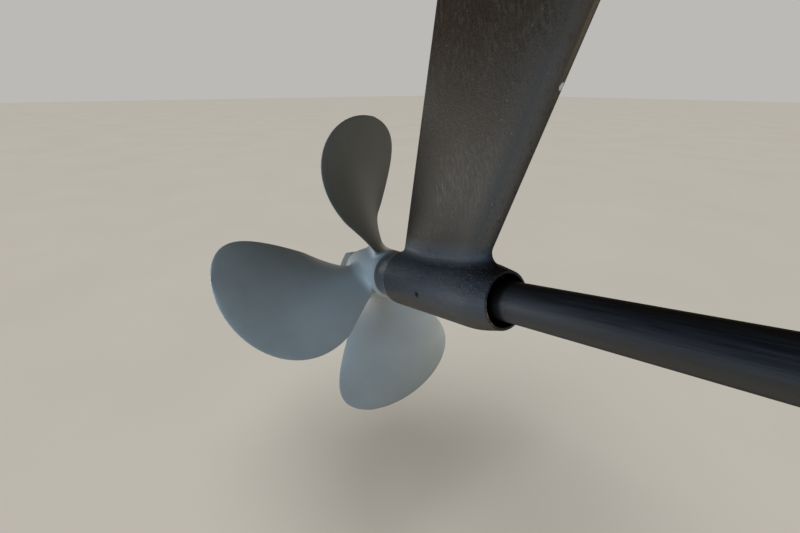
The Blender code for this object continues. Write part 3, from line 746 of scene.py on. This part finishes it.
finish, surface = new_finish("painted_screw")
grain = noise(object_place(), 900.0, 3.0)
connect(surface, {
    "Base Color": mixed(spread(grain, 0.5, 0.75), (0.048, 0.060, 0.078), (0.080, 0.088, 0.098)),
    "Roughness": 0.6, "Specular IOR Level": 0.3, "Normal": bump(grain, 0.0002, 0.5)})
screw_top = BARREL_RADIUS - SCREW_BELOW_SURFACE
screw_length = screw_top - shell_outer - SEAT_GAP
socket_corner = SCREW_SOCKET / 2 / math.cos(math.pi / 6)
for number, screw_side in enumerate((-1, 1), start=1):
    name = "set_screw_" + str(number)
    screw_profile = [(SCREW_RADIUS - SCREW_CHAMFER, 0), (SCREW_RADIUS, -SCREW_CHAMFER),
                     (SCREW_RADIUS, SCREW_CHAMFER - screw_length),
                     (SCREW_RADIUS - SCREW_CHAMFER, -screw_length)]
    screw = link_to_scene(name, turned(name, screw_profile, 48))
    socket = [(socket_corner, SCREW_CHAMFER), (socket_corner, -SCREW_SOCKET_DEPTH),
              (socket_corner / 3, -SCREW_SOCKET_DEPTH - SCREW_CHAMFER)]
    cut_or_join(screw, turned("socket", socket, 6), "DIFFERENCE")
    screw.data.transform(across_shaft(screw_side, screw_top))
    smooth_outside(screw, 30)
    screw.data.materials.append(finish)
    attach(screw, "strut")
    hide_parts("bearing_set_screw_" + str(number))
    keep_off(screw, upper_panel, low_panel, port_panel)


# Shaft: a turned stainless bar with a keyed cone and a cut thread at its after end and a keyway
# for the coupling at its forward end. It is brushed over with the strut's antifouling for most
# of its length, and the thread is sprayed grey with the propeller.
SHAFT_FORWARD_OF_BARREL = 0.366
HUB_START = 0.006
HUB_LENGTH = 0.1245
SHAFT_TAPER = 1 / 10
THREAD_RELIEF = 0.003
THREAD_STEP = 0.000775
THREAD_PITCH = 0.003
THREAD_DEPTH = 0.0018
THREAD_FORM = ((0.0, 0), (0.125, 0), (0.5, 1), (0.625, 1))
THREAD_BEHIND_NUT = 0.020
NUT_HEIGHT = 0.031
END_CHAMFER = 0.0025
CENTRE_DRILL = 0.010
COUPLING_KEYWAY_LENGTH = 0.080
KEY_WIDTH = 0.014
KEY_HEIGHT = 0.009
KEY_LENGTH = 0.090
KEY_DEPTH_IN_SHAFT = 0.0055
KEY_ANGLE = math.radians(39)
KEY_EDGE = 0.0006
PIN_HOLE_RADIUS = 0.0036
PIN_BEHIND_NUT = 0.008
PIN_ANGLE = math.radians(64)
PAINT_ENDS = -0.545
COATING_STARTS = 0.120
SHAFT_STEPS = 128
THREAD_STEPS = 96
DARK_COATING = (0.215, 0.230, 0.218)
LIGHT_COATING = (0.270, 0.286, 0.280)

HUB_END = HUB_START + HUB_LENGTH
NUT_START = HUB_END + SEAT_GAP
NUT_END = NUT_START + NUT_HEIGHT
thread_radius = SHAFT_RADIUS - HUB_LENGTH * SHAFT_TAPER / 2 - THREAD_STEP
pin_place = Matrix.Rotation(PIN_ANGLE, 4, "Z") @ Matrix.Translation((0, 0, NUT_END + PIN_BEHIND_NUT))
pin_place = pin_place @ Matrix.Rotation(math.pi / 2, 4, "Y")


def threaded_rod(name, radius, start, end, steps):
    """A rod with a right-hand thread, cut down to the thread's root by a chamfer at each end."""
    work = bmesh.new()
    rings = []
    for turn in range(-1, math.ceil((end - start) / THREAD_PITCH) + 1):
        for along_pitch, depth in THREAD_FORM:
            ring = []
            for i in range(steps + 1):
                station = start + (turn + along_pitch + i / steps) * THREAD_PITCH
                station = min(max(station, start), end)
                chamfered = radius - THREAD_DEPTH - SEAT_GAP + min(station - start, end - station)
                reach = min(radius - depth * THREAD_DEPTH, chamfered)
                angle = 2 * math.pi * i / steps
                ring.append(work.verts.new((reach * math.cos(angle), reach * math.sin(angle), station)))
            rings.append(ring)
    for low, high in zip(rings, rings[1:]):
        for i in range(steps):
            work.faces.new((low[i], low[i + 1], high[i + 1], high[i]))
    bmesh.ops.remove_doubles(work, verts=work.verts, dist=1e-6)
    bmesh.ops.dissolve_degenerate(work, edges=work.edges, dist=1e-6)
    open_ends = [edge for edge in work.edges if edge.is_boundary]
    bmesh.ops.holes_fill(work, edges=open_ends, sides=0)
    return mesh_from(work, name)


def block(name, size, where, edge=0.0):
    """A squared block about its own middle, with its edges broken if an edge width is given."""
    work = bmesh.new()
    bmesh.ops.create_cube(work, size=1)
    bmesh.ops.scale(work, vec=size, verts=work.verts)
    if edge:
        bmesh.ops.bevel(work, geom=work.edges[:], offset=edge, segments=2, affect="EDGES", profile=0.5)
    work.transform(where)
    return mesh_from(work, name)


def key_place():
    """Where the key lies: half in the cone, along its slope, at the middle of the hub."""
    middle = HUB_START + HUB_LENGTH / 2
    radius = SHAFT_RADIUS - HUB_LENGTH * SHAFT_TAPER / 4 - KEY_DEPTH_IN_SHAFT + KEY_HEIGHT / 2
    turn = Matrix.Rotation(KEY_ANGLE, 4, "Z") @ Matrix.Translation((radius, 0, middle))
    return turn @ Matrix.Rotation(-math.atan(SHAFT_TAPER / 2), 4, "Y")


def cone_radius(station):
    return SHAFT_RADIUS - max(station - HUB_START, 0.0) * SHAFT_TAPER / 2


shaft_forward = -(BARREL_LENGTH + SHAFT_FORWARD_OF_BARREL)
relief_start = HUB_END - THREAD_RELIEF
relief_radius = thread_radius - THREAD_DEPTH - 3 * SEAT_GAP
drill = CENTRE_DRILL / 2
bar = [(relief_radius, HUB_END + THREAD_RELIEF), (relief_radius, relief_start),
       (cone_radius(relief_start), relief_start), (SHAFT_RADIUS, HUB_START),
       (SHAFT_RADIUS, shaft_forward + END_CHAMFER), (SHAFT_RADIUS - END_CHAMFER, shaft_forward),
       (drill, shaft_forward), (drill / 2, shaft_forward + drill),
       (drill / 2, shaft_forward + 2 * drill), (drill / 10, shaft_forward + 2.4 * drill)]
shaft = link_to_scene("shaft_bar", turned("shaft_bar", bar, SHAFT_STEPS))
thread = threaded_rod("thread", thread_radius, HUB_END, NUT_END + THREAD_BEHIND_NUT, THREAD_STEPS)
cut_or_join(shaft, thread, "UNION")
keyway = (KEY_HEIGHT + 2 * SEAT_GAP, KEY_WIDTH + 2 * SEAT_GAP, KEY_LENGTH + 2 * SEAT_GAP)
cut_or_join(shaft, block("keyway", keyway, key_place()), "DIFFERENCE")
slot_out = SHAFT_RADIUS - KEY_DEPTH_IN_SHAFT + KEY_HEIGHT / 2
slot_place = Matrix.Rotation(KEY_ANGLE, 4, "Z") @ Matrix.Translation((slot_out, 0, shaft_forward))
straight_part = COUPLING_KEYWAY_LENGTH - KEY_WIDTH / 2
cut_or_join(shaft, block("slot", (KEY_HEIGHT, KEY_WIDTH, 2 * straight_part), slot_place), "DIFFERENCE")
slot_end = slot_place @ Matrix.Translation((0, 0, straight_part)) @ Matrix.Rotation(math.pi / 2, 4, "Y")
mill = [(KEY_WIDTH / 2, -KEY_HEIGHT / 2), (KEY_WIDTH / 2, KEY_HEIGHT / 2)]
cut_or_join(shaft, turned("slot_end", mill, 48), "DIFFERENCE", slot_end)
pin_drill = [(PIN_HOLE_RADIUS, -thread_radius - PAST), (PIN_HOLE_RADIUS, thread_radius + PAST)]
cut_or_join(shaft, turned("pin_hole", pin_drill, 40), "DIFFERENCE", pin_place)
shaft.data.transform(shaft_frame)
smooth_outside(shaft, 25)

finish, surface = new_finish("antifouling_on_shaft")
place, station, height, side = places_by_shaft()
strokes = drawn_out((station, side, height), (14.0, 330.0, 330.0), 3.0)
lathe_marks = drawn_out((station, side, height), (3000.0, 20.0, 20.0), 2.0, 0.5)
stipple = noise(place, 420.0, 3.0, 0.6)
cloud = noise(place, 60.0, 3.0, 0.6)
# Painted light on the shaft: brown bounce light underneath, a bluish sheen band and black shade from the
# barrel's mouth aft.
painted_bounce_below = spread(height, -0.007, 0.006, 0.85, 0.0)
# A painted sheen: a paler blue band along the middle of the shaft ahead of the barrel.
painted_sheen_band = times(spread(height, 0.013, 0.023, 1.0, 0.0), spread(height, -0.004, 0.005, 0.3, 1.0))
painted_sheen_band = times(painted_sheen_band, spread(station, -0.400, -0.268))
dabs = times(spread(station, -0.284, -0.270), spread(stipple, 0.40, 0.62, 0.6, 0.0))
# Painted shadow: black from just ahead of the barrel's mouth aft, inside the barrel and in the gap before
# the hub.
painted_shade_from_mouth = spread(station, -0.2665, -0.2605)
ragged = plus(station, spread(strokes, 0.2, 0.8, -0.02, 0.02))
bare = spread(ragged, PAINT_ENDS - 0.001, PAINT_ENDS + 0.001, 1.0, 0.0)
coated = spread(station, COATING_STARTS, COATING_STARTS + 0.002)
# The blue tint of the shaft's dark paint is painted skylight.
shaft_colour = layered(
    mixed(spread(strokes, 0.35, 0.75), (0.012, 0.017, 0.028), (0.040, 0.051, 0.072)),
    (painted_bounce_below, (0.046, 0.041, 0.033)),
    (times(painted_sheen_band, 0.8), (0.076, 0.092, 0.118)),
    (dabs, (0.016, 0.018, 0.024)),
    (painted_shade_from_mouth, (0.005, 0.005, 0.007)),
    (bare, mixed(cloud, (0.34, 0.34, 0.33), (0.50, 0.50, 0.48))),
    (coated, mixed(cloud, DARK_COATING, LIGHT_COATING)))
relief = layered(
    plus(strokes, times(stipple, 0.5)),
    (bare, times(lathe_marks, 0.1)),
    (coated, times(stipple, 0.3)))
roughness = mixed(bare, spread(strokes, 0.3, 0.7, 0.45, 0.60), spread(lathe_marks, 0.3, 0.7, 0.24, 0.36))
connect(surface, {
    "Base Color": shaft_colour, "Metallic": bare, "Roughness": roughness,
    "Specular IOR Level": 0.3, "Normal": bump(relief, 0.0004, 0.6)})
shaft.data.materials.clear()
shaft.data.materials.append(finish)
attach(shaft, "shaft")
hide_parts("propeller_shaft")
keep_off(shaft, upper_panel, low_panel, port_panel)


# Key: a squared bar of stainless steel with its edges broken. It lies half in the shaft's cone
# and half in the hub, so that the one turns the other.
finish, surface = new_finish("stainless")
steel = finish
marks = noise(object_place(), 160.0, 4.0)
connect(surface, {
    "Base Color": mixed(marks, (0.30, 0.30, 0.30), (0.46, 0.46, 0.45)), "Metallic": 1.0,
    "Roughness": spread(marks, 0.3, 0.7, 0.28, 0.45), "Normal": bump(marks, 0.0001, 0.4)})
key_size = (KEY_HEIGHT, KEY_WIDTH, KEY_LENGTH)
key = link_to_scene("key", block("key", key_size, shaft_frame @ key_place(), KEY_EDGE))
smooth_outside(key, 30)
key.data.materials.append(steel)
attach(key, "shaft")
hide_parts("propeller_key")


# Propeller: one bronze casting of hub and four blades, sprayed with a matt grey coating. Each
# blade is flat on its after face and crowned on its forward one, with a rounded edge, and runs
# into the hub over a wide fillet.
HUB_RADIUS = 0.045
HUB_FORWARD_RADIUS = 0.042
HUB_AFT_RADIUS = 0.033
HUB_WIDEST_SHARE = 0.42
HUB_EDGE = 0.003

TIP_RADIUS = 0.2815
PITCH = 0.641
BLADE_COUNT = 4
FIRST_BLADE_ANGLE = math.radians(-5.9)
BLADE_MIDDLE = 0.048
BLADE_WIDTH_ANGLE = math.radians(62.5)
WIDEST_SHARE = 0.46
OUTER_NARROWING_POWER = 1.95
ROOT_SHARE = 0.20
ROOT_NARROWING = 0.23
ROOT_NARROWING_POWER = 1.2
TIP_SKEW = math.radians(16.3)
SKEW_FROM_SHARE = 0.20
SKEW_POWER = 2.95
ROOT_THICKNESS = 0.019
TIP_THICKNESS = 0.0035
EDGE_THICKNESS = 0.0016
BLADE_FILLET = 0.013
BLADE_EDGE_FILLET = 0.003
FILLET_RINGS = 9
RING_BUNCHING = 1.7
TIP_SHORTENED = 0.00003
SPAN_RINGS = 34
EDGE_STEPS = 4
CHORD_STEPS = 22
HUB_STEPS = 24
FOLLOWS_HUB_FOR = 0.035

hub_widest = HUB_START + HUB_LENGTH * HUB_WIDEST_SHARE
advance = PITCH / (2 * math.pi)


def hub_radius_at(station):
    """The hub's outside: a barrel that bulges from either end to its widest ring."""
    if station < hub_widest:
        share = (station - HUB_START - HUB_EDGE) / (hub_widest - HUB_START - HUB_EDGE)
        end = HUB_FORWARD_RADIUS
    else:
        share = (HUB_END - HUB_EDGE - station) / (HUB_END - HUB_EDGE - hub_widest)
        end = HUB_AFT_RADIUS
    return end + (HUB_RADIUS - end) * math.sin(math.pi / 2 * min(max(share, 0.0), 1.0))


def blade_edges(share):
    """Angles of leading and trailing edge about the blade's own radius line."""
    if share > WIDEST_SHARE:
        outward = (share - WIDEST_SHARE) / (1 - WIDEST_SHARE)
        width = math.sqrt(max(1 - outward**OUTER_NARROWING_POWER, 0.0))
    else:
        inward = (WIDEST_SHARE - share) / (WIDEST_SHARE - ROOT_SHARE)
        width = 1 - ROOT_NARROWING * inward**ROOT_NARROWING_POWER
    skew = TIP_SKEW * max((share - SKEW_FROM_SHARE) / (1 - SKEW_FROM_SHARE), 0.0)**SKEW_POWER
    half = width * BLADE_WIDTH_ANGLE / 2
    return skew - half, skew + half


def chord_places(length, nose):
    """Places across a section: close together round both edges, even in between."""
    rounded = [nose * (1 - math.cos(math.pi / 2 * i / EDGE_STEPS)) for i in range(EDGE_STEPS)]
    middle = [nose + (length - 2 * nose) * i / CHORD_STEPS for i in range(CHORD_STEPS + 1)]
    return rounded + middle + [length - place for place in reversed(rounded)]


def blade_section(radius, generator):
    """One cylindrical section of a blade, as a closed ring of points."""
    lead, trail = blade_edges(radius / TIP_RADIUS)
    outward = max((radius - HUB_RADIUS) / (TIP_RADIUS - HUB_RADIUS), 0.0)
    thickness = ROOT_THICKNESS + (TIP_THICKNESS - ROOT_THICKNESS) * outward
    fillet = fillet_at(radius - HUB_RADIUS, BLADE_FILLET)
    stretch = fillet_at(radius - HUB_RADIUS, BLADE_EDGE_FILLET)
    slope = math.atan2(advance, radius)
    per_turn = math.hypot(advance, radius)
    length = (trail - lead) * per_turn + 2 * stretch
    nose = min(EDGE_THICKNESS / 2 + fillet, length / 2.2)
    follows = 1 - min(max((radius - HUB_RADIUS) / FOLLOWS_HUB_FOR, 0.0), 1.0)
    follows = follows * follows * (3 - 2 * follows)

    def point(place, out):
        turn = lead + (place - stretch) / per_turn
        angle = generator + turn + out * math.sin(slope) / radius
        station = HUB_START + BLADE_MIDDLE + advance * turn - out * math.cos(slope)
        reach = radius - (HUB_RADIUS - hub_radius_at(station)) * follows
        return (reach * math.cos(angle), reach * math.sin(angle), station)

    back = []
    face = []
    for place in chord_places(length, nose):
        share = place / length
        crown = 4 * share * (1 - share)
        inset = 1 - min(min(place, length - place) / nose, 1.0)
        rounding = (EDGE_THICKNESS / 2 + fillet) * math.sqrt(1 - inset * inset)
        back.append(point(place, (thickness - EDGE_THICKNESS) * crown + rounding))
        face.append(point(place, -rounding))
    return back + face[-2:0:-1]


def blade_mesh(number):
    generator = FIRST_BLADE_ANGLE + 2 * math.pi * number / BLADE_COUNT
    radii = [HUB_RADIUS - PAST]
    radii += [HUB_RADIUS + BLADE_FILLET * (i / FILLET_RINGS)**RING_BUNCHING
              for i in range(FILLET_RINGS)]
    reach = TIP_RADIUS - HUB_RADIUS - BLADE_FILLET
    radii += [HUB_RADIUS + BLADE_FILLET + reach * math.sin(math.pi / 2 * i / SPAN_RINGS)
              for i in range(SPAN_RINGS)]
    radii += [TIP_RADIUS - TIP_SHORTENED]
    return skinned("blade", [blade_section(radius, generator) for radius in radii])


hub_profile = [(HUB_FORWARD_RADIUS - HUB_EDGE, HUB_START)]
for i in range(HUB_STEPS + 1):
    station = HUB_START + HUB_EDGE + (HUB_LENGTH - 2 * HUB_EDGE) * i / HUB_STEPS
    hub_profile.append((hub_radius_at(station), station))
hub_profile += [(HUB_AFT_RADIUS - HUB_EDGE, HUB_END)]
propeller = link_to_scene("propeller_casting", turned("propeller_casting", hub_profile, 128))
for number in range(BLADE_COUNT):
    cut_or_join(propeller, blade_mesh(number), "UNION")
aft_bore = cone_radius(HUB_END) + SEAT_GAP
bore = [(aft_bore, HUB_END + PAST), (aft_bore, HUB_END), (SHAFT_RADIUS + SEAT_GAP, HUB_START),
        (SHAFT_RADIUS + SEAT_GAP, HUB_START - PAST)]
cut_or_join(propeller, turned("bore", bore, 96), "DIFFERENCE")
keyway = (KEY_HEIGHT + 2 * SEAT_GAP, KEY_WIDTH + 2 * SEAT_GAP, HUB_LENGTH + 2 * PAST)
cut_or_join(propeller, block("keyway", keyway, key_place()), "DIFFERENCE")
propeller.data.transform(shaft_frame)
smooth_outside(propeller, 32)

finish, surface = new_finish("grey_coating")
coating = finish
place = object_place()
mottle = noise(place, 45.0, 4.0, 0.6)
coating_colour = layered(
    mixed(spread(noise(place, 7.0, 3.0), 0.30, 0.70), DARK_COATING, LIGHT_COATING),
    (spread(mottle, 0.40, 0.75, 0.0, 0.25), (0.295, 0.310, 0.305)))
connect(surface, {
    "Base Color": coating_colour, "Roughness": spread(mottle, 0.3, 0.7, 0.48, 0.62),
    "Normal": bump(noise(place, 700.0), 0.00015, 0.4)})
propeller.data.materials.clear()
propeller.data.materials.append(coating)
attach(propeller, "shaft")
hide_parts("propeller")


# Nut: a bronze hexagon, chamfered at both ends. It is screwed up behind the hub and sprayed
# over with the propeller's coating.
NUT_ACROSS_FLATS = 0.055
NUT_ANGLE = math.radians(5.6)
NUT_CHAMFER = math.radians(30)
NUT_BORE_CHAMFER = 0.0012
NUT_EDGE = 0.0005

flat = NUT_ACROSS_FLATS / 2
corner = flat / math.cos(math.pi / 6)
drop = (corner - flat) * math.tan(NUT_CHAMFER)
nut = link_to_scene("nut", turned("nut", [(corner, NUT_START), (corner, NUT_END)], 6))
nut.data.transform(Matrix.Rotation(NUT_ANGLE + math.pi / 6, 4, "Z"))
chamfer = [(flat, NUT_END), (corner + PAST, NUT_END - drop - PAST * math.tan(NUT_CHAMFER)),
           (corner + PAST, NUT_START + drop + PAST * math.tan(NUT_CHAMFER)), (flat, NUT_START)]
cut_or_join(nut, turned("chamfer", chamfer, 144), "INTERSECT")
nut_bore = thread_radius + SEAT_GAP
mouth = nut_bore + NUT_BORE_CHAMFER
bore = [(mouth + PAST, NUT_END + PAST), (nut_bore, NUT_END - NUT_BORE_CHAMFER),
        (nut_bore, NUT_START + NUT_BORE_CHAMFER), (mouth + PAST, NUT_START - PAST)]
cut_or_join(nut, turned("bore", bore, 96), "DIFFERENCE")
eased = nut.modifiers.new("eased", "BEVEL")
eased.width = NUT_EDGE
eased.segments = 3
eased.limit_method = "ANGLE"
eased.angle_limit = math.radians(25)
bpy.context.view_layer.update()
nut.data = bpy.data.meshes.new_from_object(nut.evaluated_get(bpy.context.evaluated_depsgraph_get()))
nut.modifiers.clear()
nut.data.transform(shaft_frame)
smooth_outside(nut, 25)
nut.data.materials.clear()
nut.data.materials.append(coating)
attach(nut, "shaft")
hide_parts("propeller_nut")
keep_off(nut, starboard_panel)


# Cotter pin: half-round stainless wire folded at an eye and put through the thread behind the
# nut, with its two tails bent apart.
PIN_HALF_ROUND = 0.0020
PIN_HALF_GAP = 0.0001
PIN_CORNER = 0.0028
PIN_EYE = 0.0028
PIN_TAIL = 0.012
PIN_TAIL_BEND = math.radians(70)
PIN_PAST_THREAD = 0.003
BEND_STEPS = 8
ROUND_STEPS = 12


def wire_steps():
    """The flat side of the wire from one tail over the eye to the other, as (across, along)."""
    through = thread_radius + PIN_PAST_THREAD
    bend_radius = PIN_TAIL / PIN_TAIL_BEND
    leg = []
    for i in range(BEND_STEPS, -1, -1):
        bend = PIN_TAIL_BEND * i / BEND_STEPS
        leg.append((PIN_HALF_GAP + bend_radius * (1 - math.cos(bend)),
                    -through - bend_radius * math.sin(bend)))
    corner_middle = PIN_HALF_GAP + PIN_CORNER
    rise = math.sqrt((PIN_EYE + PIN_CORNER)**2 - corner_middle**2)
    lean = math.atan2(rise, corner_middle)
    for i in range(BEND_STEPS + 1):
        angle = math.pi - lean * i / BEND_STEPS
        leg.append((corner_middle + PIN_CORNER * math.cos(angle), through + PIN_CORNER * math.sin(angle)))
    eye_half = []
    for i in range(1, ROUND_STEPS + 1):
        angle = -lean + (lean + math.pi / 2) * i / ROUND_STEPS
        eye_half.append((PIN_EYE * math.cos(angle), through + rise + PIN_EYE * math.sin(angle)))
    right = leg + eye_half
    return right + [(-across, up) for across, up in reversed(right[:-1])]


def wire_rings():
    steps = wire_steps()
    rings = []
    for i, (across, up) in enumerate(steps):
        before = Vector(steps[max(i - 1, 0)])
        after = Vector(steps[min(i + 1, len(steps) - 1)])
        ahead_of_wire = (after - before).normalized()
        outward = Vector((0, ahead_of_wire.y, -ahead_of_wire.x))
        middle = Vector((0, across, up))
        half_turns = [math.pi * (j / ROUND_STEPS - 0.5) for j in range(ROUND_STEPS + 1)]
        rings.append([middle + outward * (PIN_HALF_ROUND * math.cos(turn))
                      + Vector((PIN_HALF_ROUND * math.sin(turn), 0, 0)) for turn in half_turns])
    return rings


pin = link_to_scene("split_pin", skinned("split_pin", wire_rings()))
pin.data.transform(shaft_frame @ pin_place)
smooth_outside(pin, 40)
pin.data.materials.append(steel)
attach(pin, "shaft")
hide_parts("cotter_pin")
